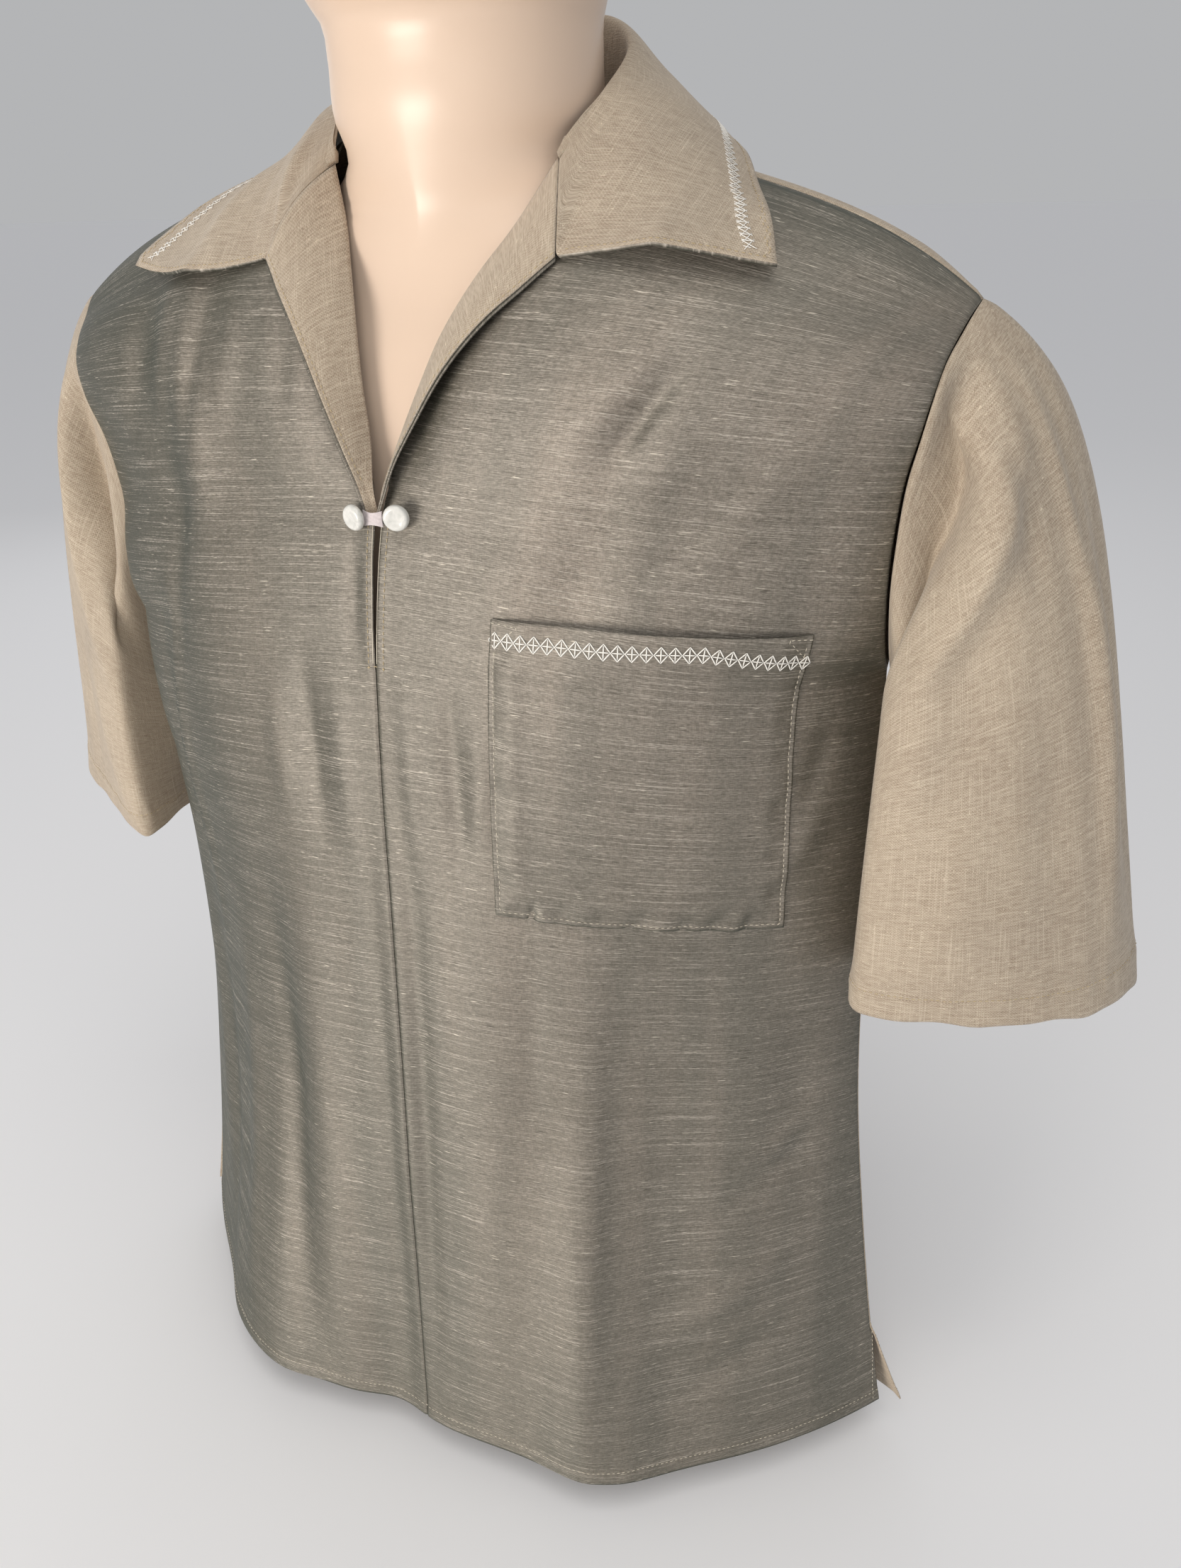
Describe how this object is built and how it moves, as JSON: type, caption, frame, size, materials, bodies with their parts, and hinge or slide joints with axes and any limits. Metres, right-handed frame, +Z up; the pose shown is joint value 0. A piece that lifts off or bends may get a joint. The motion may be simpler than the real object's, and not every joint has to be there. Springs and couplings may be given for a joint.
{
  "type": "short-sleeved pullover shirt on a limbless torso form",
  "caption": "Short-sleeved pullover shirt with an open camp collar, front slit, chest pocket and side vents, worn by a smooth limbless torso form.",
  "frame": {"origin": "on the floor under the torso form, in the shirt's plane of symmetry", "axes": "+Z up, the wearer faces -Y, +X is the wearer's left"},
  "size_m": [0.676, 0.2832, 0.792],
  "materials": {
    "form": "satin painted fibreglass, skin tone",
    "slub": "slub plain weave with a low two-tone sheen, grey-green",
    "linen": "matt linen plain weave, tan",
    "pearl": "pearly, polished",
    "thread": "worked thread bar"
  },
  "bodies": {
    "root": {"torso_form": "form", "front_left": "slub", "front_right": "slub", "back": "linen", "sleeve_left": "linen", "sleeve_right": "linen", "pocket": "slub", "lapel_left": "linen", "lapel_right": "linen", "collar": "linen", "button_left": "pearl", "button_right": "pearl", "thread_bar": "thread"}
  },
  "joints": []
}
